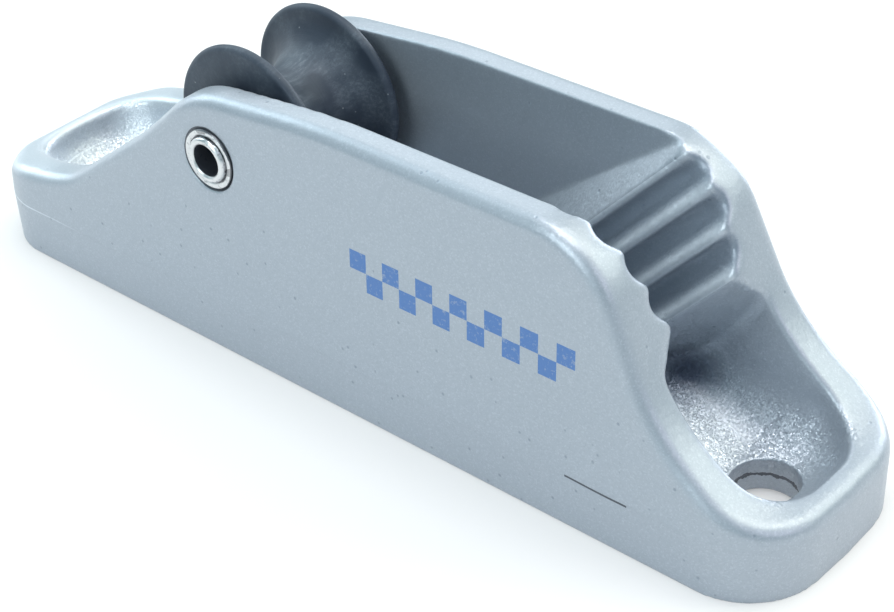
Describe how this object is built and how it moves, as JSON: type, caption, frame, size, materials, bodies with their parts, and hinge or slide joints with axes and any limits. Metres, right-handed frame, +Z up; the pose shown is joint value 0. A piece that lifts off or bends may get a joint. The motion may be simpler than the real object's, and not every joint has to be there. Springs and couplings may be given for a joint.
{
  "type": "jam cleat",
  "caption": "Cast rope jam cleat: a channel between tall walls ends in a toothed V jaw, a grooved roller turns on a tubular rivet near the entry, and each end has a screw dish.",
  "frame": {"origin": "middle of the mounting face, which is the bottom centre of the bounding box", "axes": "+X along the cleat from the roller's end towards the toothed jaws and their exit, +Y across the cleat, +Z up from the mounting face"},
  "size_m": [0.082, 0.0192, 0.025],
  "materials": {
    "body_paint": "satin silver metallic paint on a casting",
    "roller_plastic": "satin moulded black",
    "rivet_steel": "bright, rolled"
  },
  "bodies": {
    "cleat": {"cleat_body": "body_paint", "axle_rivet": "rivet_steel"},
    "sheave": {"roller": "roller_plastic"}
  },
  "joints": [
    {"name": "roller_spin", "type": "hinge", "parent": "cleat", "child": "sheave", "pos_m": [-0.0111, 0, 0.0176], "axis": [0, 1, 0], "continuous": true}
  ]
}
